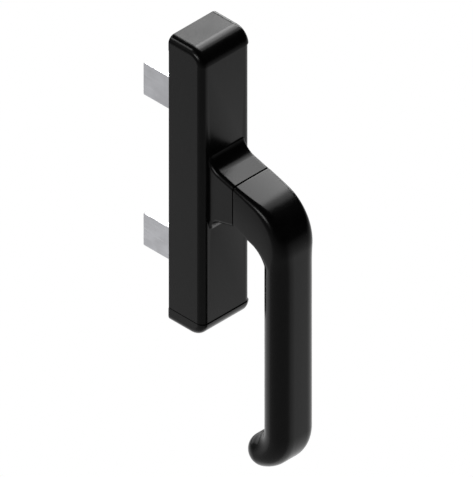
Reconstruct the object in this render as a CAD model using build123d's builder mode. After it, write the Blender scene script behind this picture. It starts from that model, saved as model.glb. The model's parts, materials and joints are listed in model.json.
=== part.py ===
"""A cremone handle for a casement window, shown shut.

A slim housing lies on the window's frame. A lever turns in the flared neck on its front, and a
pinion on the lever's spindle lifts a rack. The rack's two prongs reach back into the window's
groove and push the locking rods. Millimetres. The origin is on the mounting face at the turning
axis, +Z is up, +X is to the right seen from the room, and the room is on the -Y side.
"""

import math
import os

from build123d import *

# Housing
housing_width = 30.8
housing_depth = 21.5
housing_top = 77.9  # above the turning axis, over the top cap
housing_bottom = -79.5
side_wall = 1.5
front_wall = 2.4
edge_radius = 3.5  # the housing's front edges and the caps' side edges
cavity_corner_radius = 1.0

# End caps
cap_height = 7.6
cap_front_radius = 8.5  # the rounding runs down to the seam
cap_seam = 0.2  # shadow line between a cap and the housing
cap_front_overhang = 0.5
cap_side_overhang = 0.2
cap_wall = 2.4
cap_pocket_depth = 3.5
tongue_thickness = 2.1
tongue_width = 11.0
tongue_length = 4.2
tongue_back = 5.0  # from the mounting face to the tongue's near edge

# Neck
neck_width = 23.5
neck_reach = 15.3  # from the housing's front face to the neck's end
neck_end_height = 22.6
neck_slope = 15.3  # degrees, of its upper and lower faces
neck_root_radius = 8.6  # of the flare into the housing's face
neck_root_slope = 76.0  # degrees, where the flare is steepest
neck_lip = 0.6  # the flare ends this far in front of the housing's face
neck_lip_slope = 40.0  # degrees, from the flare's end back to the face
flare_allowance = 1.05  # the flare's flat end is this much longer than its rounding needs
long_edge_radius = 2.2
joint_gap = 0.4  # between the neck and the lever

# Lever
lever_top_slope = 14.0  # degrees, just past the joint
lever_under_slope = 22.0
lever_reach = 47.4  # from the housing's front face to the grip's front
elbow_outer_radius = 24.0
elbow_inner_radius = 9.0
elbow_straight = 0.4  # of the grip's back, between its bend and the elbow's end
elbow_sections = 7
grip_thickness = 16.2
grip_flat = 0.3  # between the two corner roundings of the grip's side
hook_drop = 115.2  # below the axis, where the grip starts to curl
hook_radius = 16.2  # of the curl's centre line
hook_turn = 69.3  # degrees

# Bearing of the lever
spigot_radius = 7.4
running_clearance = 0.05
bush_wall = 1.55
bush_flange_margin = 0.9  # of the neck's end face above and below the flange
bush_flange_thickness = 0.95
washer_thickness = 0.6
washer_width = 3.1
circlip_thickness = 1.0
circlip_width = 2.0  # outside the spigot
circlip_groove_depth = 0.7
circlip_opening = 50.0  # degrees
spigot_lip = 1.1  # of the spigot, behind the circlip

# Drive
spindle_size = 8.0
spindle_length = 23.0
spindle_corner = 0.5
spindle_setback = 1.6  # from the gear's back to the spindle's end
square_clearance = 0.02
tapped_depth = 11.0
screw_radius = 1.95
pinion_screw_head_radius = 3.7
pinion_screw_length = 14.0
screw_seat_depth = 0.2
hex_socket_size = 2.5  # across flats
hex_socket_depth = 1.5
pinion_teeth = 23
pressure_angle = 20.0  # degrees
tooth_addendum = 0.8
tooth_dedendum = 1.0
tooth_root_overlap = 0.5  # of a tooth into the gear's root circle
backlash = 0.12
cam_size = 13.0
cam_corner_radius = 1.2
cam_width = 4.1
journal_radius = 5.5
journal_setback = 0.3  # from the mounting face to the journal's end
lever_swing = 90.0  # degrees

# Detent springs
leaf_thickness = 0.6
leaf_width = 3.3
leaf_gap = 0.05
peg_radius = 2.0
peg_drop = 18.0  # above and below the axis
leaf_hook_turn = 150.0  # degrees

# Back plate and its fixings
plate_thickness = 2.0
plate_clearance = 0.1
upper_boss_setback = 5.1  # from the housing's end to the threaded boss's middle
lower_boss_setback = 6.7
boss_radius = 4.5
fixing_hole_radius = 2.1  # tapping size for M5
fixing_hole_depth = 14.0
plate_screw_spacing = 17.2
post_inset = 1.8  # from a boss's middle to the posts beside it
post_radius = 2.5
plate_screw_radius = 1.4
plate_screw_length = 9.0
plate_screw_head_radius = 2.7
cross_slot_width = 0.6  # of the screws' cross recess
cross_slot_depth = 1.0
screw_clearance = 0.1

# Slider and prongs
slider_gap = 0.6  # behind the slider, for the shoes' lips
slider_thickness = 2.5
slider_width = 22.0
rack_wall = 0.9  # behind the rack's teeth
rack_side_gap = 0.45  # between the rack and the housing's wall
rack_margin = 6.5  # of rack past the teeth in mesh, at each end
gear_side_gap = 0.3
prong_thickness = 2.5
prong_height = 17.5
prong_reach = 30.2  # behind the mounting face
upper_prong_z = 32.7
lower_prong_z = -50.5
prong_slot_gap = 0.3
prong_foot = 9.5  # from the prong's far face to the foot's end
prong_bend_radius = 0.5
prong_tip_radius = 0.6
rivet_radius = 1.5
rivet_head_radius = 2.5
rivet_head_height = 0.9
rivet_pitch = 10.0
rivet_x = 5.2
shoe_length = 6.0
shoe_front = 1.9
shoe_lip = 0.45
shoe_lip_reach = 3.5
shoe_clearance = 0.05
shoe_gear_gap = 0.6  # between a shoe and the pinion's teeth, where they come nearest

# Distances from the mounting face towards the room, back to front
slider_back = plate_thickness + slider_gap
slider_front = slider_back + slider_thickness
gear_back = slider_front + gear_side_gap
wall_back = housing_depth - front_wall
washer_back = wall_back - running_clearance - washer_thickness
circlip_back = washer_back - running_clearance - circlip_thickness
cam_front = circlip_back - spigot_lip
gear_front = cam_front - cam_width
cap_front = housing_depth + cap_front_overhang
neck_end = housing_depth + neck_reach
lever_start = neck_end + joint_gap
grip_front = housing_depth + lever_reach
grip_back = grip_front - grip_thickness
grip_middle = grip_front - grip_thickness / 2
spindle_back = gear_back + spindle_setback
screw_seat = journal_setback + screw_seat_depth
screw_head_depth = pinion_screw_head_radius - screw_radius

# Half widths and radii
cavity_half = housing_width / 2 - side_wall
cap_half_width = housing_width / 2 + cap_side_overhang
neck_end_half = neck_end_height / 2
grip_corner_radius = (grip_thickness - grip_flat) / 2
bush_radius = spigot_radius + running_clearance + bush_wall
bush_flange_radius = neck_end_half - bush_flange_margin
washer_radius = spigot_radius + washer_width
circlip_radius = spigot_radius + circlip_width

# The rack's back runs beside the housing's wall, and the pinion fills the width that is left
rack_back = cavity_half - rack_side_gap
pitch_radius = rack_back - rack_wall - tooth_dedendum
gear_module = 2 * pitch_radius / pinion_teeth
tip_radius = pitch_radius + tooth_addendum
root_radius = pitch_radius - tooth_dedendum
stroke = pitch_radius * math.radians(lever_swing)

# Heights above the turning axis
housing_middle = (housing_top + housing_bottom) / 2
cap_seat = housing_top - cap_height
body_top = cap_seat - cap_seam
body_bottom = 2 * housing_middle - body_top
body_height = body_top - body_bottom
upper_boss_z = body_top - upper_boss_setback
lower_boss_z = body_bottom + lower_boss_setback
upper_shoe_z = tip_radius + shoe_gear_gap + shoe_length / 2
lower_shoe_z = -upper_shoe_z - stroke
slider_top = upper_prong_z + prong_height / 2 - shoe_clearance
slider_bottom = lower_prong_z - prong_height / 2 + shoe_clearance

boss_places = [(0, upper_boss_z), (0, lower_boss_z)]
post_places = [
    (x, z)
    for x in (-plate_screw_spacing / 2, plate_screw_spacing / 2)
    for z in (lower_boss_z + post_inset, upper_boss_z - post_inset)
]

room = Plane.XZ  # its normal points into the room
window = Plane((0, 0, 0), x_dir=(-1, 0, 0), z_dir=(0, 1, 0))  # its normal points into the window


def side_point(distance, height):
    """A point of a side view, from its distance in front of the mounting face."""
    return (-distance, height)


# The neck: two sloped faces that flare out towards the housing and end in a narrow lip
flare_turn = math.radians(neck_root_slope - neck_slope)
flare_length = flare_allowance * neck_root_radius * math.tan(flare_turn / 2)
flare_corner = housing_depth + neck_lip + flare_length * math.cos(math.radians(neck_root_slope))
flare_corner_half = neck_end_half + (neck_end - flare_corner) * math.tan(math.radians(neck_slope))
lip_front = housing_depth + neck_lip
lip_half = flare_corner_half + flare_length * math.sin(math.radians(neck_root_slope))
lip_root_half = lip_half + (lip_front - wall_back) * math.tan(math.radians(neck_lip_slope))

with BuildPart() as neck:
    with BuildSketch(Plane.YZ.offset(-neck_width / 2)):
        with BuildLine():
            Polyline(
                side_point(wall_back, lip_root_half),
                side_point(lip_front, lip_half),
                side_point(flare_corner, flare_corner_half),
                side_point(neck_end, neck_end_half),
                side_point(neck_end, -neck_end_half),
                side_point(flare_corner, -flare_corner_half),
                side_point(lip_front, -lip_half),
                side_point(wall_back, -lip_root_half),
                close=True,
            )
        make_face()
        flare_corners = vertices().filter_by_position(Axis.X, -flare_corner, -flare_corner)
        fillet(flare_corners, radius=neck_root_radius)
    extrude(amount=neck_width)
    long_edges = [
        edge
        for side in (faces().sort_by(Axis.X)[0], faces().sort_by(Axis.X)[-1])
        for edge in side.edges()
        if edge.center().Y < -wall_back - 0.001 and abs(edge.center().Z) > neck_end_half / 2
    ]
    fillet(long_edges, radius=long_edge_radius)

# The housing: a channel, open at the back and at both ends, with the neck cast on
with BuildPart() as housing:
    with BuildSketch(Plane.XY.offset(body_bottom)):
        with Locations((0, -housing_depth / 2)):
            Rectangle(housing_width, housing_depth)
        fillet(vertices().group_by(Axis.Y)[0], radius=edge_radius)
    extrude(amount=body_height)
    with BuildSketch(Plane.XY.offset(body_bottom)):
        with Locations((0, -wall_back / 2)):
            Rectangle(2 * cavity_half, wall_back)
        fillet(vertices().group_by(Axis.Y)[0], radius=cavity_corner_radius)
    extrude(amount=body_height, mode=Mode.SUBTRACT)
    add(neck.part)
    # Threaded bosses stand through the back plate to the mounting face
    with BuildSketch(room):
        with Locations(*boss_places):
            Circle(boss_radius)
    extrude(amount=wall_back)
    with BuildSketch(room):
        with Locations(*boss_places):
            Circle(fixing_hole_radius)
    extrude(amount=fixing_hole_depth, mode=Mode.SUBTRACT)
    # Posts carry the back plate
    with BuildSketch(room.offset(plate_thickness)):
        with Locations(*post_places):
            Circle(post_radius)
    extrude(amount=wall_back - plate_thickness)
    with BuildSketch(room.offset(plate_thickness)):
        with Locations(*post_places):
            Circle(plate_screw_radius + screw_clearance / 2)
    extrude(amount=plate_screw_length, mode=Mode.SUBTRACT)
    # Pegs hold the detent springs' ends
    leaf_middle = cam_size / 2 + leaf_gap + leaf_thickness / 2
    peg_x = leaf_middle + leaf_thickness / 2 + leaf_gap + peg_radius
    with BuildSketch(room.offset(gear_front + leaf_thickness)):
        with Locations(*[(x, z) for x in (-peg_x, peg_x) for z in (-peg_drop, peg_drop)]):
            Circle(peg_radius)
    extrude(amount=wall_back - gear_front - leaf_thickness)
    # The bush's bore and the seat of its flange
    with BuildSketch(room.offset(wall_back)):
        Circle(bush_radius)
    extrude(amount=neck_end - wall_back, mode=Mode.SUBTRACT)
    flange_back = lever_start - running_clearance - bush_flange_thickness
    with BuildSketch(room.offset(flange_back)):
        Circle(bush_flange_radius)
    extrude(amount=neck_end - flange_back, mode=Mode.SUBTRACT)

# End caps: hollow, rounded over at the front, with two tongues that grip the housing's walls
with BuildPart() as top_end_cap:
    with BuildSketch(Plane.YZ.offset(-cap_half_width)):
        cap_blank_foot = housing_top - 2 * cap_front_radius
        with BuildLine():
            Polyline(
                side_point(0, cap_blank_foot),
                side_point(0, housing_top),
                side_point(cap_front, housing_top),
                side_point(cap_front, cap_blank_foot),
                close=True,
            )
        make_face()
        fillet(vertices().sort_by(Axis.Y)[-2:].sort_by(Axis.X)[0], radius=cap_front_radius)
    extrude(amount=2 * cap_half_width)
    rounded_edges = [
        edge
        for side in (faces().sort_by(Axis.X)[0], faces().sort_by(Axis.X)[-1])
        for edge in side.edges()
        if edge.center().Z > cap_blank_foot + 0.01 and edge.center().Y < -0.01
    ]
    fillet(rounded_edges, radius=edge_radius)
    split(bisect_by=Plane.XY.offset(cap_seat))
    with BuildSketch(Plane.XY.offset(cap_seat)):
        with Locations((0, -housing_depth / 2)):
            Rectangle(housing_width - 2 * cap_wall, housing_depth - 2 * cap_wall)
    extrude(amount=cap_pocket_depth, mode=Mode.SUBTRACT)
    with BuildSketch(Plane.XY.offset(cap_seat - tongue_length)):
        tongue_x = cavity_half - plate_clearance - tongue_thickness / 2
        with Locations(
            (-tongue_x, -tongue_back - tongue_width / 2),
            (tongue_x, -tongue_back - tongue_width / 2),
        ):
            Rectangle(tongue_thickness, tongue_width)
    extrude(amount=tongue_length + cap_pocket_depth)

with BuildPart() as bottom_end_cap:
    mirror(top_end_cap.part, about=Plane.XY.offset(housing_middle))

# Back plate: slots for the prongs, and holes for the bosses, the bush and the screws
prong_slot_width = prong_thickness + 2 * prong_slot_gap
prong_slot_length = prong_height + stroke + 2 * prong_slot_gap
rear_bush_radius = journal_radius + running_clearance + bush_wall

with BuildPart() as back_plate:
    with BuildSketch(room):
        with Locations((0, housing_middle)):
            Rectangle(2 * (cavity_half - plate_clearance), body_height - 2 * plate_clearance)
        with Locations(
            (0, upper_prong_z + stroke / 2),
            (0, lower_prong_z + stroke / 2),
        ):
            Rectangle(prong_slot_width, prong_slot_length, mode=Mode.SUBTRACT)
        with Locations(*boss_places):
            Circle(boss_radius + plate_clearance, mode=Mode.SUBTRACT)
        Circle(rear_bush_radius, mode=Mode.SUBTRACT)
    extrude(amount=plate_thickness)
    with Locations(window):
        with Locations(*post_places):
            CounterSinkHole(
                radius=plate_screw_radius + screw_clearance,
                counter_sink_radius=plate_screw_head_radius + screw_clearance,
            )

# One countersunk screw, its head flush with the mounting face
with BuildPart() as plate_screw:
    with BuildSketch(Plane.XY):
        head_depth = plate_screw_head_radius - plate_screw_radius
        with BuildLine():
            Polyline(
                (0, 0),
                (plate_screw_head_radius, 0),
                (plate_screw_radius, -head_depth),
                (plate_screw_radius, -plate_screw_length),
                (0, -plate_screw_length),
                close=True,
            )
        make_face()
    revolve(axis=Axis.Y)
    with BuildSketch(window):
        Rectangle(plate_screw_radius * 2, cross_slot_width)
        Rectangle(cross_slot_width, plate_screw_radius * 2)
    extrude(amount=-cross_slot_depth, mode=Mode.SUBTRACT)

with BuildPart() as back_plate_screws:
    with Locations(*[(x, -screw_clearance, z) for x, z in post_places]):
        add(plate_screw.part)

with BuildPart() as rear_bush:
    with BuildSketch(room):
        Circle(rear_bush_radius)
        Circle(journal_radius + running_clearance, mode=Mode.SUBTRACT)
    extrude(amount=plate_thickness)

# Flanged bush in the neck: its flange is the dark line between the neck and the lever
with BuildPart() as neck_bush:
    with BuildSketch(room.offset(wall_back)):
        Circle(bush_radius)
    extrude(amount=flange_back - wall_back)
    with BuildSketch(room.offset(flange_back)):
        Circle(bush_flange_radius)
    extrude(amount=bush_flange_thickness)
    with BuildSketch(room.offset(wall_back)):
        Circle(spigot_radius + running_clearance)
    extrude(amount=lever_start - wall_back, mode=Mode.SUBTRACT)

# Leaf springs press on the cam's flats and hook round the housing's pegs
with BuildPart() as detent_spring_right:
    with BuildSketch(room.offset(gear_front + leaf_thickness)):
        hook_centre_radius = peg_radius + leaf_gap + leaf_thickness / 2
        with BuildLine():
            leaf = Line((leaf_middle, -peg_drop), (leaf_middle, peg_drop))
            JernArc(leaf @ 1, leaf % 1, hook_centre_radius, -leaf_hook_turn)
            JernArc(leaf @ 0, (0, -1), hook_centre_radius, leaf_hook_turn)
            leaf_line = edges()
        trace(leaf_line, line_width=leaf_thickness)
    extrude(amount=leaf_width)

with BuildPart() as detent_spring_left:
    mirror(detent_spring_right.part, about=Plane.YZ)

# The lever's two side contours, from the joint to the upright grip
top_fall = math.tan(math.radians(lever_top_slope)) * (grip_front - lever_start)
under_fall = math.tan(math.radians(lever_under_slope)) * (grip_back - lever_start)
outer_bend = elbow_outer_radius * math.tan(math.radians(90 - lever_top_slope) / 2)
inner_bend = elbow_inner_radius * math.tan(math.radians(90 - lever_under_slope) / 2)
outer_bend_drop = top_fall - neck_end_half + outer_bend
inner_bend_drop = neck_end_half + under_fall + inner_bend
elbow_end_drop = max(outer_bend_drop, inner_bend_drop) + elbow_straight

with BuildLine(Plane.YZ) as elbow_outside:
    FilletPolyline(
        side_point(lever_start, neck_end_half),
        side_point(grip_front, neck_end_half - top_fall),
        side_point(grip_front, -elbow_end_drop),
        radius=elbow_outer_radius,
    )

with BuildLine(Plane.YZ) as elbow_inside:
    FilletPolyline(
        side_point(lever_start, -neck_end_half),
        side_point(grip_back, -neck_end_half - under_fall),
        side_point(grip_back, -elbow_end_drop),
        radius=elbow_inner_radius,
    )


def section_plane(outside, inside):
    """The plane of a section through two facing points of the lever's contours."""
    across = (outside - inside).normalized()
    return Plane(
        origin=(outside + inside) / 2, x_dir=(1, 0, 0), z_dir=Vector(1, 0, 0).cross(across)
    )


def section(plane, height, outer_radius, inner_radius):
    """A rectangle as wide as the neck, with its own corner radius on each side of the lever."""
    half_width = neck_width / 2
    half_height = height / 2
    inner_x = half_width - inner_radius
    inner_y = inner_radius - half_height
    outer_x = half_width - outer_radius
    outer_y = half_height - outer_radius
    with BuildSketch(plane) as outline:
        with BuildLine():
            Line((-inner_x, -half_height), (inner_x, -half_height))
            CenterArc((inner_x, inner_y), inner_radius, -90, 90)
            Line((half_width, inner_y), (half_width, outer_y))
            CenterArc((outer_x, outer_y), outer_radius, 0, 90)
            Line((outer_x, half_height), (-outer_x, half_height))
            CenterArc((-outer_x, outer_y), outer_radius, 90, 90)
            Line((-half_width, outer_y), (-half_width, inner_y))
            CenterArc((-inner_x, inner_y), inner_radius, 180, 90)
        make_face()
    return outline.sketch


def grip_section(plane):
    """The grip's own section."""
    return section(plane, grip_thickness, grip_corner_radius, grip_corner_radius)


corner_growth = grip_corner_radius - long_edge_radius
elbow_outlines = []
for station in range(elbow_sections + 1):
    share = station / elbow_sections
    outside = elbow_outside.wire() @ share
    inside = elbow_inside.wire() @ share
    # The outer corners grow evenly, and the inner ones mostly near the grip
    outer_radius = long_edge_radius + corner_growth * share * share * (3 - 2 * share)
    inner_radius = long_edge_radius + corner_growth * share**3
    plane = section_plane(outside, inside)
    elbow_outlines.append(section(plane, (outside - inside).length, outer_radius, inner_radius))

grip_plane = Plane(origin=(0, -grip_middle, -elbow_end_drop), x_dir=(1, 0, 0), z_dir=(0, 0, -1))
grip_length = hook_drop - elbow_end_drop
grip_outline = grip_section(grip_plane)
hook_outline = grip_section(grip_plane.offset(grip_length))
hook_centre = Vector(0, hook_radius - grip_middle, -hook_drop)
outward = Vector(0, -math.cos(math.radians(hook_turn)), -math.sin(math.radians(hook_turn)))
end_plane = Plane(
    origin=hook_centre + outward * hook_radius,
    x_dir=(1, 0, 0),
    z_dir=Vector(1, 0, 0).cross(outward),
)
end_half = split(grip_section(end_plane), bisect_by=Plane(end_plane.origin, z_dir=outward))

with BuildPart() as lever:
    loft(elbow_outlines)
    extrude(grip_outline, amount=grip_length)
    # The hook curls back towards the window, and its end is rounded over
    revolve(hook_outline, axis=Axis(hook_centre, (1, 0, 0)), revolution_arc=hook_turn)
    revolve(end_half, axis=Axis(end_plane.origin, (1, 0, 0)), revolution_arc=180)
    # The spigot that turns in the neck's bush
    with BuildSketch(room.offset(cam_front)):
        Circle(spigot_radius)
    extrude(amount=lever_start - cam_front)
    # Square hole for the spindle, and the circlip's groove
    with BuildSketch(room.offset(cam_front)):
        Rectangle(spindle_size + 2 * square_clearance, spindle_size + 2 * square_clearance)
    spindle_depth = spindle_back + spindle_length + square_clearance - cam_front
    extrude(amount=spindle_depth, mode=Mode.SUBTRACT)
    with BuildSketch(room.offset(washer_back)):
        Circle(spigot_radius + running_clearance)
        Circle(spigot_radius - circlip_groove_depth, mode=Mode.SUBTRACT)
    extrude(amount=-(circlip_thickness + 2 * running_clearance), mode=Mode.SUBTRACT)

# Square steel bar from the lever to the pinion, tapped at the back for the screw
with BuildPart() as drive_spindle:
    with BuildSketch(room.offset(spindle_back)):
        Rectangle(spindle_size, spindle_size)
        chamfer(vertices(), length=spindle_corner)
    extrude(amount=spindle_length)
    with BuildSketch(room.offset(spindle_back)):
        Circle(screw_radius + running_clearance)
    extrude(amount=tapped_depth, mode=Mode.SUBTRACT)


def involute(base_radius, radius):
    """How far an involute has turned where it reaches a radius, in radians."""
    angle = math.acos(base_radius / radius)
    return math.tan(angle) - angle


base_radius = pitch_radius * math.cos(math.radians(pressure_angle))
tooth_half_angle = (math.pi * gear_module / 2 - backlash / 2) / 2 / pitch_radius
tooth_base_angle = tooth_half_angle + involute(base_radius, pitch_radius)


def flank_point(radius, side):
    """A point of a tooth's flank. Below the base circle the flank is radial."""
    angle = tooth_base_angle
    if radius > base_radius:
        angle -= involute(base_radius, radius)
    return (radius * math.cos(angle), side * radius * math.sin(angle))


# Pinion: gear, detent cam in front and journal behind, in one piece
with BuildPart() as pinion:
    with BuildSketch(room.offset(gear_back)):
        Circle(root_radius)
        with BuildSketch(mode=Mode.PRIVATE) as tooth:
            foot_radius = root_radius - tooth_root_overlap
            flank_middle = (base_radius + tip_radius) / 2
            with BuildLine():
                Line((foot_radius, 0), flank_point(foot_radius, 1))
                Line(flank_point(foot_radius, 1), flank_point(base_radius, 1))
                ThreePointArc(
                    flank_point(base_radius, 1), flank_point(flank_middle, 1), flank_point(tip_radius, 1)
                )
                ThreePointArc(flank_point(tip_radius, 1), (tip_radius, 0), flank_point(tip_radius, -1))
                ThreePointArc(
                    flank_point(tip_radius, -1), flank_point(flank_middle, -1), flank_point(base_radius, -1)
                )
                Line(flank_point(base_radius, -1), flank_point(foot_radius, -1))
                Line(flank_point(foot_radius, -1), (foot_radius, 0))
            make_face()
        with PolarLocations(0, pinion_teeth):
            add(tooth.sketch)
    extrude(amount=gear_front - gear_back)
    with BuildSketch(room.offset(gear_front)):
        RectangleRounded(cam_size, cam_size, cam_corner_radius)
    extrude(amount=cam_width)
    with BuildSketch(room.offset(journal_setback)):
        Circle(journal_radius)
    extrude(amount=gear_back - journal_setback)
    with BuildSketch(room.offset(spindle_back)):
        Rectangle(spindle_size + 2 * square_clearance, spindle_size + 2 * square_clearance)
    extrude(amount=cam_front - spindle_back, mode=Mode.SUBTRACT)
    # Countersunk hole for the screw
    with BuildSketch(Plane.YZ):
        with BuildLine():
            Polyline(
                side_point(0, 0),
                side_point(0, pinion_screw_head_radius + screw_clearance),
                side_point(screw_seat, pinion_screw_head_radius + screw_clearance),
                side_point(screw_seat + screw_head_depth, screw_radius + screw_clearance),
                side_point(spindle_back, screw_radius + screw_clearance),
                side_point(spindle_back, 0),
                close=True,
            )
        make_face()
    revolve(axis=Axis.Y, mode=Mode.SUBTRACT)

# Countersunk screw, from the journal's end into the spindle
with BuildPart() as pinion_screw:
    with BuildSketch(Plane.YZ):
        with BuildLine():
            Polyline(
                side_point(screw_seat, 0),
                side_point(screw_seat, pinion_screw_head_radius),
                side_point(screw_seat + screw_head_depth, screw_radius),
                side_point(screw_seat + pinion_screw_length, screw_radius),
                side_point(screw_seat + pinion_screw_length, 0),
                close=True,
            )
        make_face()
    revolve(axis=Axis.Y)
    with BuildSketch(room.offset(screw_seat)):
        RegularPolygon(radius=hex_socket_size / 2, side_count=6, major_radius=False)
    extrude(amount=hex_socket_depth, mode=Mode.SUBTRACT)

# Washer and circlip behind the front wall keep the lever in its bush
with BuildPart() as thrust_washer:
    with BuildSketch(room.offset(washer_back)):
        Circle(washer_radius)
        Circle(spigot_radius + running_clearance, mode=Mode.SUBTRACT)
    extrude(amount=washer_thickness)

with BuildPart() as circlip:
    with BuildSketch(room.offset(washer_back - running_clearance)):
        Circle(circlip_radius)
        Circle(spigot_radius - circlip_groove_depth + running_clearance, mode=Mode.SUBTRACT)
        with BuildLine():
            opening_x = circlip_radius * math.tan(math.radians(circlip_opening / 2))
            Polyline((0, 0), (opening_x, circlip_radius), (-opening_x, circlip_radius), close=True)
        make_face(mode=Mode.SUBTRACT)
    extrude(amount=-circlip_thickness)

# Slider plate, with the rack along its right edge
tooth_pitch = math.pi * gear_module
rack_height = stroke + 2 * rack_margin
rack_middle = -stroke / 2
rack_tip_x = pitch_radius - tooth_addendum
rack_root_x = pitch_radius + tooth_dedendum
flank_slope = math.tan(math.radians(pressure_angle))
rack_half_tooth = (tooth_pitch - backlash) / 4
tip_half = rack_half_tooth - tooth_addendum * flank_slope
root_half = rack_half_tooth + tooth_dedendum * flank_slope
rack_front = gear_front - gear_side_gap / 2
first_tooth = math.ceil((rack_middle - rack_height / 2 + root_half) / tooth_pitch - 0.5)
last_tooth = math.floor((rack_middle + rack_height / 2 - root_half) / tooth_pitch - 0.5)

with BuildPart() as rack_slider:
    with BuildSketch(room.offset(slider_back)):
        with Locations((0, (slider_top + slider_bottom) / 2)):
            Rectangle(slider_width, slider_top - slider_bottom)
        with Locations((rack_back / 2, rack_middle)):
            Rectangle(rack_back, rack_height)
        with Locations((0, rack_middle)):
            window_width = 2 * (journal_radius + gear_side_gap)
            SlotCenterToCenter(stroke, window_width, rotation=90, mode=Mode.SUBTRACT)
        for prong_z in (upper_prong_z, lower_prong_z):
            with Locations((prong_bend_radius / 2, prong_z)):
                Rectangle(
                    prong_thickness + prong_bend_radius + 2 * shoe_clearance,
                    prong_height + 2 * shoe_clearance,
                    mode=Mode.SUBTRACT,
                )
            with Locations(*[(rivet_x, prong_z + side * rivet_pitch / 2) for side in (-1, 1)]):
                Circle(rivet_radius, mode=Mode.SUBTRACT)
    extrude(amount=slider_thickness)
    with BuildSketch(room.offset(slider_front)):
        with Locations(((rack_root_x + rack_back) / 2, rack_middle)):
            Rectangle(rack_wall, rack_height)
        for tooth_number in range(first_tooth, last_tooth + 1):
            tooth_z = (tooth_number + 0.5) * tooth_pitch
            with BuildLine():
                Polyline(
                    (rack_root_x, tooth_z - root_half),
                    (rack_tip_x, tooth_z - tip_half),
                    (rack_tip_x, tooth_z + tip_half),
                    (rack_root_x, tooth_z + root_half),
                    close=True,
                )
            make_face()
    extrude(amount=rack_front - slider_front)


def make_prong(height):
    """A flat steel tongue, bent to a foot that is riveted to the slider's front."""
    foot_front = slider_front + prong_thickness
    half = prong_thickness / 2
    with BuildPart() as prong:
        with BuildSketch(Plane.XY.offset(height - prong_height / 2)):
            with BuildLine():
                Polyline(
                    (-half, prong_reach),
                    (-half, -foot_front),
                    (prong_foot - half, -foot_front),
                    (prong_foot - half, -slider_front),
                    (half, -slider_front),
                    (half, prong_reach),
                    close=True,
                )
            make_face()
            bend_outside = vertices().sort_by(Axis.X)[0:2].sort_by(Axis.Y)[0]
            bend_inside = vertices().filter_by_position(Axis.Y, -slider_front, -slider_front)
            fillet(bend_inside.sort_by(Axis.X)[0], radius=prong_bend_radius)
            fillet(bend_outside, radius=prong_bend_radius + prong_thickness)
        extrude(amount=prong_height)
        tip_corners = edges().filter_by(Axis.X).group_by(Axis.Y)[-1]
        fillet(tip_corners, radius=prong_tip_radius)
        with BuildSketch(room.offset(slider_front)):
            with Locations(*[(rivet_x, height + side * rivet_pitch / 2) for side in (-1, 1)]):
                Circle(rivet_radius)
        extrude(amount=prong_thickness, mode=Mode.SUBTRACT)
    return prong


upper_prong = make_prong(upper_prong_z)
lower_prong = make_prong(lower_prong_z)

with BuildPart() as prong_rivets:
    rivet_places = [
        (rivet_x, prong_z + side * rivet_pitch / 2)
        for prong_z in (upper_prong_z, lower_prong_z)
        for side in (-1, 1)
    ]
    with BuildSketch(room.offset(slider_back)):
        with Locations(*rivet_places):
            Circle(rivet_radius)
    extrude(amount=slider_thickness + prong_thickness)
    with BuildSketch(room.offset(slider_front + prong_thickness)):
        with Locations(*rivet_places):
            Circle(rivet_head_radius)
    extrude(amount=rivet_head_height)
    chamfer(faces().group_by(Axis.Y)[0].edges(), length=rivet_head_height / 2)


def make_shoe(height):
    """A nylon clip round the slider plate, which runs on the housing's walls."""
    half_width = cavity_half - plate_clearance
    slot_half = slider_width / 2 + shoe_clearance
    lip_back = slider_back - shoe_clearance - shoe_lip
    with BuildPart() as shoe:
        with BuildSketch(Plane.XY.offset(height - shoe_length / 2)):
            with BuildLine():
                Polyline(
                    (-half_width, -lip_back),
                    (-half_width, -slider_front - shoe_front),
                    (half_width, -slider_front - shoe_front),
                    (half_width, -lip_back),
                    (slot_half - shoe_lip_reach, -lip_back),
                    (slot_half - shoe_lip_reach, -slider_back + shoe_clearance),
                    (slot_half, -slider_back + shoe_clearance),
                    (slot_half, -slider_front - shoe_clearance),
                    (-slot_half, -slider_front - shoe_clearance),
                    (-slot_half, -slider_back + shoe_clearance),
                    (shoe_lip_reach - slot_half, -slider_back + shoe_clearance),
                    (shoe_lip_reach - slot_half, -lip_back),
                    close=True,
                )
            make_face()
        extrude(amount=shoe_length)
    return shoe


upper_slide_shoe = make_shoe(upper_shoe_z)
lower_slide_shoe = make_shoe(lower_shoe_z)

pieces = {
    "housing": housing,
    "top_end_cap": top_end_cap,
    "bottom_end_cap": bottom_end_cap,
    "back_plate": back_plate,
    "back_plate_screws": back_plate_screws,
    "rear_bush": rear_bush,
    "neck_bush": neck_bush,
    "detent_spring_right": detent_spring_right,
    "detent_spring_left": detent_spring_left,
    "lever": lever,
    "drive_spindle": drive_spindle,
    "pinion": pinion,
    "pinion_screw": pinion_screw,
    "thrust_washer": thrust_washer,
    "circlip": circlip,
    "rack_slider": rack_slider,
    "upper_prong": upper_prong,
    "lower_prong": lower_prong,
    "prong_rivets": prong_rivets,
    "upper_slide_shoe": upper_slide_shoe,
    "lower_slide_shoe": lower_slide_shoe,
}

os.makedirs("parts", exist_ok=True)
for name, piece in pieces.items():
    piece.part.label = name
    export_step(piece.part, f"parts/{name}.step")
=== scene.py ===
"""Looks for a black cremone window handle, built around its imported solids.

The lever is remade as one smooth mesh of the same form, and every other piece keeps its solid and
gets a finish. Metres. +Z is up, the room is on the -Y side, and the origin is on the mounting
face at the lever's turning axis.
"""

import json
import math

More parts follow.
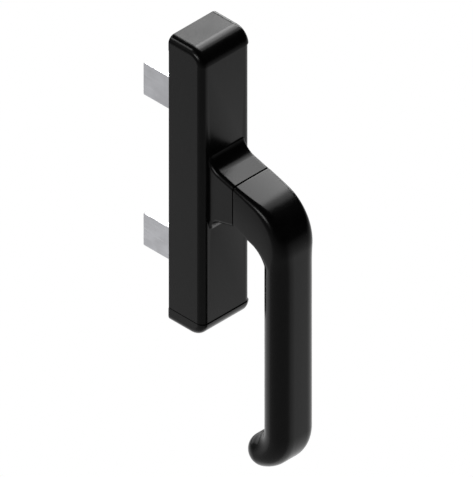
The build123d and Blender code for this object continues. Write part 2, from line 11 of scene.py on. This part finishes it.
import bmesh
import bpy
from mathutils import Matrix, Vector


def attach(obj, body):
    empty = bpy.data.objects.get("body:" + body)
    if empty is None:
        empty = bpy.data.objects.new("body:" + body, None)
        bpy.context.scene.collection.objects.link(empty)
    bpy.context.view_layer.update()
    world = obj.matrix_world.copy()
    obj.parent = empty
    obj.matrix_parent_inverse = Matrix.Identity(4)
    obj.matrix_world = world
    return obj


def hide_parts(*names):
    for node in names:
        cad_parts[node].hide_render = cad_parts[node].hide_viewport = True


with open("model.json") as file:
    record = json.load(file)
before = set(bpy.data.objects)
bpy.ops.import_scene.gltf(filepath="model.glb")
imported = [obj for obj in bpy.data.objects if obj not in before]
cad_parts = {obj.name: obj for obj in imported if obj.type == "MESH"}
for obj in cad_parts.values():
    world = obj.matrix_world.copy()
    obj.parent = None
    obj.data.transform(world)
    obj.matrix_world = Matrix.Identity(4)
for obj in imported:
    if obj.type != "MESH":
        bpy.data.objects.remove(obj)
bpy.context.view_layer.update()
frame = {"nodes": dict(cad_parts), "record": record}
nodes = frame["nodes"]

bpy.context.scene.view_settings.view_transform = "Standard"

MM = 0.001

# The photograph's isometric view
IMAGE_HEIGHT = 477
MM_PER_PIXEL = 0.4511
CAMERA_DISTANCE = 1.5
CAMERA_CLIP = 20.0
CAMERA_AIM = Vector((0.0, -27.84 * MM, -27.46 * MM))

# Studio. Reflections see a painted pool of light on the floor, bright near the object and darker on
# the far left, and a dim wall on the left. A fade is between two cosines of the angle from the
# patch's middle
# The floor's glow below is a painted pool of light, seen only by glossy rays
FLOOR_DROP = 0.42
FLOOR_SIZE = 20.0
PAINTED_POOL_GLOW = 0.70  # at 1 m from the object
PAINTED_POOL_MOST = 1.15
FLOOR_WHITE = (0.8, 0.8, 0.8, 1)
FLOOR_FALL = -0.75  # the power of the distance that the glow falls with
DIM_AZIMUTH = 205.0
DIM_LEVEL = 0.42
DIM_FADE = (0.2, 0.6)
WALL_AZIMUTH = 152.0
WALL_ELEVATION = 5.0
WALL_GLOW = 0.42
WALL_FADE = (0.64, 0.9)
WORLD_DARK = 0.008
WORLD_FILL = 0.8
LAMP_DISTANCE = 2.4

# Finishes
COAT_BLACK = (0.0007, 0.0007, 0.0007)
COAT_LIGHT = (0.0010, 0.0010, 0.0010)
COAT_INDEX = 1.25
COAT_ROUGHNESS = (0.195, 0.235)
PLASTIC_ROUGHNESS = (0.20, 0.235)
PLAIN_INDEX = 1.5
NOISE_RANGE = (0.3, 0.7)  # of the noise's values, most of which lie between
ZINC_DARK = (0.475, 0.478, 0.498)
ZINC_LIGHT = (0.535, 0.538, 0.562)
STEEL_DARK = (0.40, 0.40, 0.415)
STEEL_LIGHT = (0.55, 0.55, 0.57)
BRONZE_DARK = (0.30, 0.19, 0.09)
BRONZE_LIGHT = (0.62, 0.44, 0.22)
NYLON_BLACK = (0.008, 0.008, 0.008)
NYLON_LIGHT = (0.014, 0.014, 0.014)


def direction(azimuth, elevation):
    """A unit vector from compass angles, where azimuth 0 is +X and 90 is +Y."""
    turn = math.radians(azimuth)
    rise = math.radians(elevation)
    return Vector(
        (math.cos(turn) * math.cos(rise), math.sin(turn) * math.cos(rise), math.sin(rise))
    )


def add_object(name, data):
    """Links a new object into the scene."""
    item = bpy.data.objects.new(name, data)
    bpy.context.scene.collection.objects.link(item)
    return item


def aim(item, target):
    """Turns an object's -Z axis to a point."""
    item.rotation_euler = (target - item.location).to_track_quat("-Z", "Y").to_euler()


# Camera
toward_camera = Vector((-1.0, -1.0, 1.0)).normalized()
camera = add_object("camera", bpy.data.cameras.new("camera"))
camera.data.type = "ORTHO"
camera.data.ortho_scale = IMAGE_HEIGHT * MM_PER_PIXEL * MM
camera.data.clip_end = CAMERA_CLIP
camera.location = CAMERA_AIM + toward_camera * CAMERA_DISTANCE
aim(camera, CAMERA_AIM)
bpy.context.scene.camera = camera


# Studio
def math_node(tree, operation, first, second):
    """A Math node, whose inputs are sockets or numbers."""
    node = tree.nodes.new("ShaderNodeMath")
    node.operation = operation
    for socket, value in zip(node.inputs, (first, second)):
        if isinstance(value, (int, float)):
            socket.default_value = value
        else:
            tree.links.new(value, socket)
    return node.outputs[0]


def smooth_step(tree, value, start, end, at_start, at_end):
    """A smooth ramp between two levels while a value goes from start to end."""
    node = tree.nodes.new("ShaderNodeMapRange")
    node.interpolation_type = "SMOOTHSTEP"
    node.inputs["From Min"].default_value = start
    node.inputs["From Max"].default_value = end
    node.inputs["To Min"].default_value = at_start
    node.inputs["To Max"].default_value = at_end
    tree.links.new(value, node.inputs["Value"])
    return node.outputs["Result"]


def painted_light_pool(tree):
    """A painted pool of light that reflections see on the floor, from the distance and the side
    that a point lies on.
    """
    place = tree.nodes.new("ShaderNodeNewGeometry").outputs["Position"]
    flat = tree.nodes.new("ShaderNodeVectorMath")
    flat.operation = "MULTIPLY"
    flat.inputs[1].default_value = (1, 1, 0)
    tree.links.new(place, flat.inputs[0])
    length = tree.nodes.new("ShaderNodeVectorMath")
    length.operation = "LENGTH"
    tree.links.new(flat.outputs[0], length.inputs[0])
    unit = tree.nodes.new("ShaderNodeVectorMath")
    unit.operation = "NORMALIZE"
    tree.links.new(flat.outputs[0], unit.inputs[0])
    side = tree.nodes.new("ShaderNodeVectorMath")
    side.operation = "DOT_PRODUCT"
    side.inputs[1].default_value = direction(DIM_AZIMUTH, 0)
    tree.links.new(unit.outputs[0], side.inputs[0])
    fall = math_node(tree, "POWER", length.outputs["Value"], FLOOR_FALL)
    fall = math_node(tree, "MULTIPLY", fall, PAINTED_POOL_GLOW)
    fall = math_node(tree, "MINIMUM", fall, PAINTED_POOL_MOST)
    turn = smooth_step(tree, side.outputs["Value"], *DIM_FADE, 1.0, DIM_LEVEL)
    return math_node(tree, "MULTIPLY", fall, turn)


def build_floor():
    """White for the camera, lit by the lamps, and with a painted pool of light where glossy
    surfaces reflect it.
    """
    half = FLOOR_SIZE / 2
    mesh = bpy.data.meshes.new("floor")
    mesh.from_pydata(
        [(-half, -half, 0), (half, -half, 0), (half, half, 0), (-half, half, 0)], [], [(0, 1, 2, 3)]
    )
    floor = add_object("floor", mesh)
    floor.location = (0, 0, -FLOOR_DROP)
    material = bpy.data.materials.new("floor_white")
    material.use_nodes = True
    tree = material.node_tree
    tree.nodes.clear()
    output = tree.nodes.new("ShaderNodeOutputMaterial")
    mix = tree.nodes.new("ShaderNodeMixShader")
    diffuse = tree.nodes.new("ShaderNodeBsdfDiffuse")
    glow = tree.nodes.new("ShaderNodeEmission")
    path = tree.nodes.new("ShaderNodeLightPath")
    # Painted pool of light: glossy rays see the floor glow brighter near the object and dimmer on
    # the far left
    painted_pool = math_node(tree, "MULTIPLY", painted_light_pool(tree), path.outputs["Is Glossy Ray"])
    direct = path.outputs["Is Camera Ray"]
    plain = math_node(tree, "MAXIMUM", direct, path.outputs["Is Transmission Ray"])
    strength = math_node(tree, "MAXIMUM", painted_pool, plain)
    seen = math_node(tree, "MAXIMUM", plain, path.outputs["Is Glossy Ray"])
    diffuse.inputs["Color"].default_value = FLOOR_WHITE
    glow.inputs["Color"].default_value = (1, 1, 1, 1)
    tree.links.new(strength, glow.inputs["Strength"])
    tree.links.new(seen, mix.inputs[0])
    tree.links.new(diffuse.outputs[0], mix.inputs[1])
    tree.links.new(glow.outputs[0], mix.inputs[2])
    tree.links.new(mix.outputs[0], output.inputs["Surface"])
    mesh.materials.append(material)


def build_world():
    """A dark studio with a dim wall, soft fill for matt surfaces and white for the camera."""
    world = bpy.data.worlds.new("studio")
    bpy.context.scene.world = world
    world.use_nodes = True
    tree = world.node_tree
    tree.nodes.clear()
    output = tree.nodes.new("ShaderNodeOutputWorld")
    background = tree.nodes.new("ShaderNodeBackground")
    path = tree.nodes.new("ShaderNodeLightPath")
    side = tree.nodes.new("ShaderNodeVectorMath")
    side.operation = "DOT_PRODUCT"
    side.inputs[1].default_value = direction(WALL_AZIMUTH, WALL_ELEVATION)
    tree.links.new(tree.nodes.new("ShaderNodeTexCoord").outputs["Generated"], side.inputs[0])
    wall = smooth_step(tree, side.outputs["Value"], *WALL_FADE, WORLD_DARK, WALL_GLOW)
    fill = math_node(tree, "MULTIPLY", path.outputs["Is Diffuse Ray"], WORLD_FILL)
    level = math_node(tree, "MAXIMUM", wall, fill)
    level = math_node(tree, "MAXIMUM", level, path.outputs["Is Camera Ray"])
    tree.links.new(level, background.inputs["Strength"])
    tree.links.new(background.outputs[0], output.inputs["Surface"])
    background.inputs["Color"].default_value = (1, 1, 1, 1)


def add_area(name, azimuth, elevation, width, height, radiance):
    """A rectangular lamp turned to the object, with the radiance given whatever its size."""
    data = bpy.data.lights.new(name, "AREA")
    data.shape = "RECTANGLE"
    data.size = width
    data.size_y = height
    data.energy = radiance * math.pi * width * height
    lamp = add_object(name, data)
    lamp.location = CAMERA_AIM + direction(azimuth, elevation) * LAMP_DISTANCE
    aim(lamp, CAMERA_AIM)


build_floor()
build_world()
# A broad softbox behind on the right, brightest towards its foot, then small lamps on the left, and
# low ones behind and on the right that light the hook's end and the right-hand edges
add_area("key_wide", azimuth=24, elevation=50.5, width=1.96, height=1.28, radiance=2.9)
add_area("key", azimuth=30, elevation=51, width=1.08, height=1.26, radiance=5.0)
add_area("key_foot", azimuth=31, elevation=41, width=1.0, height=0.60, radiance=7.3)
add_area("left_high", azimuth=130, elevation=40, width=0.57, height=0.57, radiance=6)
add_area("left_low", azimuth=179, elevation=19, width=1.1, height=0.57, radiance=8.5)
add_area("back_low", azimuth=82, elevation=14, width=2.5, height=1.6, radiance=1.8)
add_area("right_low", azimuth=29, elevation=12, width=1.3, height=0.6, radiance=9)


# Finishes. Lengths are metres in each piece's own space, so a pattern moves with its piece
def new_material(name, color, metallic, index):
    """A material with its node tree and its shader, whose constant values are set."""
    material = bpy.data.materials.new(name)
    material.use_nodes = True
    shader = material.node_tree.nodes["Principled BSDF"]
    shader.inputs["Base Color"].default_value = (*color, 1)
    shader.inputs["Metallic"].default_value = metallic
    shader.inputs["IOR"].default_value = index
    return material, material.node_tree, shader


def grain(tree, length, stretch=(1, 1, 1), detail=2.0):
    """Noise from 0 to 1 with features of a length, stretched along the piece's axes."""
    place = tree.nodes.new("ShaderNodeTexCoord")
    mapping = tree.nodes.new("ShaderNodeMapping")
    mapping.inputs["Scale"].default_value = [1 / (length * s) for s in stretch]
    noise = tree.nodes.new("ShaderNodeTexNoise")
    noise.inputs["Scale"].default_value = 1.0
    noise.inputs["Detail"].default_value = detail
    tree.links.new(place.outputs["Object"], mapping.inputs["Vector"])
    tree.links.new(mapping.outputs["Vector"], noise.inputs["Vector"])
    return noise.outputs["Fac"]


def set_roughness(tree, shader, pattern, low, high):
    """Varies the roughness by a pattern."""
    level = smooth_step(tree, pattern, *NOISE_RANGE, low, high)
    tree.links.new(level, shader.inputs["Roughness"])


def set_colors(tree, shader, pattern, dark, light):
    """Blends two colours by a pattern."""
    mix = tree.nodes.new("ShaderNodeMix")
    mix.data_type = "RGBA"
    mix.inputs[6].default_value = (*dark, 1)
    mix.inputs[7].default_value = (*light, 1)
    tree.links.new(smooth_step(tree, pattern, *NOISE_RANGE, 0, 1), mix.inputs["Factor"])
    tree.links.new(mix.outputs[2], shader.inputs["Base Color"])


def set_relief(tree, shader, *layers):
    """Stacks bumps, each a pattern and its height in metres."""
    normal = None
    for pattern, height in layers:
        bump = tree.nodes.new("ShaderNodeBump")
        bump.inputs["Strength"].default_value = 1.0
        bump.inputs["Distance"].default_value = height
        tree.links.new(pattern, bump.inputs["Height"])
        if normal is not None:
            tree.links.new(normal, bump.inputs["Normal"])
        normal = bump.outputs["Normal"]
    tree.links.new(normal, shader.inputs["Normal"])


def powder_coat():
    """Satin black powder coat on die-cast metal, with a fine orange peel."""
    material, tree, shader = new_material("black_coating", COAT_BLACK, 0.0, COAT_INDEX)
    orange_peel = grain(tree, 0.0011)
    grit = grain(tree, 0.00035)
    set_colors(tree, shader, grain(tree, 0.004), COAT_BLACK, COAT_LIGHT)
    set_roughness(tree, shader, grain(tree, 0.018), *COAT_ROUGHNESS)
    set_relief(tree, shader, (orange_peel, 1.6e-6), (grit, 3.5e-7))
    return material


def moulded_plastic():
    """Satin black plastic with the fine even grain of its mould."""
    material, tree, shader = new_material("black_plastic", COAT_BLACK, 0.0, COAT_INDEX)
    mould_grain = grain(tree, 0.00045, detail=4.0)
    set_colors(tree, shader, grain(tree, 0.003), COAT_BLACK, COAT_LIGHT)
    set_roughness(tree, shader, grain(tree, 0.012), *PLASTIC_ROUGHNESS)
    set_relief(tree, shader, (mould_grain, 6e-7))
    return material


def zinc_plate():
    """Dull zinc on rolled strip: faint rolling lines along its length and a cloudy bloom."""
    material, tree, shader = new_material("zinc_plate", ZINC_LIGHT, 1.0, PLAIN_INDEX)
    bloom = grain(tree, 0.006, detail=5.0)
    rolling_lines = grain(tree, 0.0006, stretch=(1, 30, 1), detail=4.0)
    waves = grain(tree, 0.005)
    set_colors(tree, shader, bloom, ZINC_DARK, ZINC_LIGHT)
    set_roughness(tree, shader, grain(tree, 0.0012, stretch=(1, 14, 1)), 0.27, 0.36)
    set_relief(tree, shader, (rolling_lines, 2.2e-6), (waves, 4e-6))
    return material


def machined_steel():
    """Plain steel with fine turning and grinding lines."""
    material, tree, shader = new_material("steel", STEEL_LIGHT, 1.0, PLAIN_INDEX)
    cloud = grain(tree, 0.004, detail=4.0)
    turning_lines = grain(tree, 0.0003, stretch=(20, 1, 20), detail=3.0)
    set_colors(tree, shader, cloud, STEEL_DARK, STEEL_LIGHT)
    set_roughness(tree, shader, grain(tree, 0.0008, stretch=(1, 1, 12)), 0.24, 0.36)
    set_relief(tree, shader, (turning_lines, 1.5e-6))
    return material


def sintered_bronze():
    """Oily sintered bronze, dull and full of fine pores."""
    material, tree, shader = new_material("bronze", BRONZE_LIGHT, 1.0, PLAIN_INDEX)
    pores = grain(tree, 0.00025, detail=1.0)
    set_colors(tree, shader, pores, BRONZE_DARK, BRONZE_LIGHT)
    set_roughness(tree, shader, grain(tree, 0.002), 0.36, 0.5)
    set_relief(tree, shader, (pores, 2e-5))
    return material


def black_nylon():
    """Matt black nylon with a waxy, slightly uneven surface."""
    material, tree, shader = new_material("nylon", NYLON_BLACK, 0.0, PLAIN_INDEX)
    set_colors(tree, shader, grain(tree, 0.002), NYLON_BLACK, NYLON_LIGHT)
    set_roughness(tree, shader, grain(tree, 0.0015), 0.46, 0.56)
    set_relief(tree, shader, (grain(tree, 0.0004), 4e-6))
    return material


def dress(node, material):
    """Gives a carried-over solid its finish."""
    mesh = nodes[node].data
    mesh.materials.clear()
    mesh.materials.append(material)


# The lever as one smooth mesh. Millimetres, as in the part's own drawing, until the mesh is made
HOUSING_DEPTH = 21.5
NECK_REACH = 15.3  # from the housing's front face
JOINT_GAP = 0.4
NECK_WIDTH = 23.5
NECK_END_HALF = 11.3
JOINT_EDGE_RADIUS = 2.2
JOINT_ROUNDING = 0.6  # of the lever's sharp edge at the joint
TOP_SLOPE = 14.0
UNDER_SLOPE = 22.0
LEVER_REACH = 47.4  # from the housing's front face to the grip's front
GRIP_THICKNESS = 16.2
GRIP_FLAT = 0.3  # between the two corner roundings of the grip's side
OUTER_BEND = 24.0
INNER_BEND = 9.0
ELBOW_STRAIGHT = 0.4  # of the grip's back, between its bend and the elbow's end
ELBOW_LENGTH = 45.0  # about, along its middle
HOOK_DROP = 115.2
HOOK_RADIUS = 16.2
HOOK_TURN = 69.3
SPIGOT_RADIUS = 7.4  # of the stub that turns inside the neck
SPIGOT_BACK = 16.3  # from the mounting face, as are GROOVE_BACK, GROOVE_FRONT and SQUARE_FRONT
GROOVE_RADIUS = 6.7  # of the circlip's groove
GROOVE_BACK = 17.35
GROOVE_FRONT = 18.45
SQUARE_HALF = 4.02  # of the spindle's square hole
SQUARE_FRONT = 30.02

LEVER_START = HOUSING_DEPTH + NECK_REACH + JOINT_GAP
GRIP_FRONT = HOUSING_DEPTH + LEVER_REACH
GRIP_BACK = GRIP_FRONT - GRIP_THICKNESS
GRIP_MIDDLE = GRIP_FRONT - GRIP_THICKNESS / 2
GRIP_CORNER = (GRIP_THICKNESS - GRIP_FLAT) / 2
TOP_FALL = math.tan(math.radians(TOP_SLOPE)) * (GRIP_FRONT - LEVER_START)
UNDER_FALL = math.tan(math.radians(UNDER_SLOPE)) * (GRIP_BACK - LEVER_START)
INNER_BEND_DROP = INNER_BEND * math.tan(math.radians(90 - UNDER_SLOPE) / 2)
ELBOW_END_DROP = NECK_END_HALF + UNDER_FALL + INNER_BEND_DROP + ELBOW_STRAIGHT

# The mesh's fineness
ROUNDING_STEPS = 4
ELBOW_STATIONS = 56
GRIP_STATIONS = 12
HOOK_STATIONS = 30
END_STATIONS = 24
ARC_STEPS = 12
SHARP_ANGLE = 35.0


def rounded_corner(start, corner, end, radius):
    """A function of the share of its length along two lines joined by an arc."""
    first = (start - corner).normalized()
    second = (end - corner).normalized()
    half_angle = first.angle(second) / 2
    reach = radius / math.tan(half_angle)
    arc_start = corner + first * reach
    arc_end = corner + second * reach
    centre = corner + (first + second).normalized() * radius / math.sin(half_angle)
    arc_angle = math.pi - 2 * half_angle
    lengths = [(arc_start - start).length, radius * arc_angle, (end - arc_end).length]

    def at(share):
        run = share * sum(lengths)
        if run <= lengths[0]:
            return start + (arc_start - start) * (run / lengths[0])
        run -= lengths[0]
        if run <= lengths[1]:
            spread = arc_angle * run / lengths[1]
            from_centre = arc_start - centre
            to_centre = arc_end - centre
            weight_first = math.sin(arc_angle - spread) / math.sin(arc_angle)
            weight_second = math.sin(spread) / math.sin(arc_angle)
            return centre + from_centre * weight_first + to_centre * weight_second
        run -= lengths[1]
        return arc_end + (end - arc_end) * (run / lengths[2])

    return at


def section_outline(height, outer_corner, inner_corner, inset=0.0):
    """Points (x, up) of a rectangle with rounded corners, from the middle of its +X side.

    Each side has a point in its middle.
    """
    half_width = NECK_WIDTH / 2 - inset
    half_height = height / 2 - inset
    outer_corner -= inset
    inner_corner -= inset
    points = []
    quarters = [
        ((half_width, 0.0), 1, 1, outer_corner, 0),
        ((0.0, half_height), -1, 1, outer_corner, 90),
        ((-half_width, 0.0), -1, -1, inner_corner, 180),
        ((0.0, -half_height), 1, -1, inner_corner, 270),
    ]
    for side_middle, side_x, side_y, radius, first_angle in quarters:
        points.append(side_middle)
        for step in range(ARC_STEPS + 1):
            angle = math.radians(first_angle + 90 * step / ARC_STEPS)
            points.append(
                (
                    side_x * (half_width - radius) + radius * math.cos(angle),
                    side_y * (half_height - radius) + radius * math.sin(angle),
                )
            )
    return points


def placed(outline, middle, across):
    """A section's points in space, on the line of direction across through its middle."""
    return [Vector((x, middle.y + across.y * up, middle.z + across.z * up)) for x, up in outline]


def eased(share):
    """A share from 0 to 1 that starts and ends slowly."""
    return share * share * (3 - 2 * share)


def elbow_rings():
    """Sections from the joint to the grip, where the flat neck's form turns into a round one."""
    outside = rounded_corner(
        Vector((0, -LEVER_START, NECK_END_HALF)),
        Vector((0, -GRIP_FRONT, NECK_END_HALF - TOP_FALL)),
        Vector((0, -GRIP_FRONT, -ELBOW_END_DROP)),
        OUTER_BEND,
    )
    inside = rounded_corner(
        Vector((0, -LEVER_START, -NECK_END_HALF)),
        Vector((0, -GRIP_BACK, -NECK_END_HALF - UNDER_FALL)),
        Vector((0, -GRIP_BACK, -ELBOW_END_DROP)),
        INNER_BEND,
    )
    growth = GRIP_CORNER - JOINT_EDGE_RADIUS
    stations = []
    for step in range(ROUNDING_STEPS + 1):
        angle = math.pi / 2 * step / ROUNDING_STEPS
        inset = JOINT_ROUNDING * (1 - math.sin(angle))
        stations.append((JOINT_ROUNDING * (1 - math.cos(angle)) / ELBOW_LENGTH, inset))
    stations += [(station / ELBOW_STATIONS, 0.0) for station in range(1, ELBOW_STATIONS + 1)]
    rings = []
    for share, inset in stations:
        across = outside(share) - inside(share)
        outer_corner = JOINT_EDGE_RADIUS + growth * eased(share)
        inner_corner = JOINT_EDGE_RADIUS + growth * share**3
        outline = section_outline(across.length, outer_corner, inner_corner, inset)
        middle = (outside(share) + inside(share)) / 2
        rings.append(placed(outline, middle, across.normalized()))
    return rings


def grip_rings():
    """The same section down the grip and round the hook."""
    outline = section_outline(GRIP_THICKNESS, GRIP_CORNER, GRIP_CORNER)
    rings = []
    for station in range(1, GRIP_STATIONS + 1):
        drop = ELBOW_END_DROP + (HOOK_DROP - ELBOW_END_DROP) * station / GRIP_STATIONS
        rings.append(placed(outline, Vector((0, -GRIP_MIDDLE, -drop)), Vector((0, -1, 0))))
    centre = Vector((0, HOOK_RADIUS - GRIP_MIDDLE, -HOOK_DROP))
    for station in range(1, HOOK_STATIONS + 1):
        turn = math.radians(HOOK_TURN * station / HOOK_STATIONS)
        outward = Vector((0, -math.cos(turn), -math.sin(turn)))
        rings.append(placed(outline, centre + outward * HOOK_RADIUS, outward))
    return rings


def hook_end():
    """Half rings that close the hook: the section's outer half, turned about its own X axis."""
    outline = section_outline(GRIP_THICKNESS, GRIP_CORNER, GRIP_CORNER)
    outer_half = outline[: len(outline) // 2 + 1]
    turn = math.radians(HOOK_TURN)
    outward = Vector((0, -math.cos(turn), -math.sin(turn)))
    onward = Vector((0, math.sin(turn), -math.cos(turn)))
    centre = Vector((0, HOOK_RADIUS - GRIP_MIDDLE, -HOOK_DROP))
    middle = centre + outward * HOOK_RADIUS
    rings = []
    for station in range(1, END_STATIONS):
        angle = math.pi * station / END_STATIONS
        across = outward * math.cos(angle) + onward * math.sin(angle)
        rings.append(placed(outer_half[1:-1], middle, across))
    return rings


def spigot_rings(count):
    """Rings of a number of points, from the lever's joint face to the square hole's bottom."""
    angles = [2 * math.pi * i / count for i in range(count)]
    round_steps = [
        (SPIGOT_RADIUS, LEVER_START),
        (SPIGOT_RADIUS, GROOVE_FRONT),
        (GROOVE_RADIUS, GROOVE_FRONT),
        (GROOVE_RADIUS, GROOVE_BACK),
        (SPIGOT_RADIUS, GROOVE_BACK),
        (SPIGOT_RADIUS, SPIGOT_BACK),
    ]
    rings = []
    for radius, distance in round_steps:
        rings.append(
            [Vector((radius * math.cos(a), -distance, radius * math.sin(a))) for a in angles]
        )
    for distance in (SPIGOT_BACK, SQUARE_FRONT):
        ring = []
        for a in angles:
            reach = SQUARE_HALF / max(abs(math.cos(a)), abs(math.sin(a)))
            ring.append(Vector((reach * math.cos(a), -distance, reach * math.sin(a))))
        rings.append(ring)
    return rings


def join_rings(mesh, first, second):
    """A band of four-sided faces between two rings of the same number of points."""
    count = len(first)
    for i in range(count):
        j = (i + 1) % count
        mesh.faces.new((first[i], first[j], second[j], second[i]))


def build_lever(material):
    """Joins the rings from the square hole's bottom out to the hook's end, as one closed mesh."""
    mesh = bmesh.new()
    outer_rings = elbow_rings() + grip_rings()
    inner_rings = spigot_rings(len(outer_rings[0]))
    rings = [[mesh.verts.new(p * MM) for p in ring] for ring in reversed(inner_rings)]
    rings += [[mesh.verts.new(p * MM) for p in ring] for ring in outer_rings]
    for first, second in zip(rings, rings[1:]):
        join_rings(mesh, first, second)
    mesh.faces.new(reversed(rings[0]))
    # The hook's rounded end fans out from the last ring's two side points
    last = rings[-1]
    half = len(last) // 2
    right_pole = last[0]
    left_pole = last[half]
    strips = [last[1:half]]
    strips += [[mesh.verts.new(p * MM) for p in ring] for ring in hook_end()]
    strips.append(list(reversed(last[half + 1 :])))
    for first, second in zip(strips, strips[1:]):
        mesh.faces.new((right_pole, first[0], second[0]))
        mesh.faces.new((left_pole, second[-1], first[-1]))
        for i in range(len(first) - 1):
            mesh.faces.new((first[i], first[i + 1], second[i + 1], second[i]))
    bmesh.ops.recalc_face_normals(mesh, faces=mesh.faces)
    data = bpy.data.meshes.new("lever_smooth")
    mesh.to_mesh(data)
    mesh.free()
    data.materials.append(material)
    data.polygons.foreach_set("use_smooth", [True] * len(data.polygons))
    data.set_sharp_from_angle(angle=math.radians(SHARP_ANGLE))
    lever = add_object("lever_smooth", data)
    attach(lever, "handle")
    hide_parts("lever")


coat = powder_coat()
finish_of_slot = {
    "black_coating": coat,
    "black_plastic": moulded_plastic(),
    "zinc_plate": zinc_plate(),
    "steel": machined_steel(),
    "bronze": sintered_bronze(),
    "nylon": black_nylon(),
}
for entry in frame["record"]["subparts"]:
    dress(entry["node"], finish_of_slot[entry["material_slot"]])

build_lever(coat)
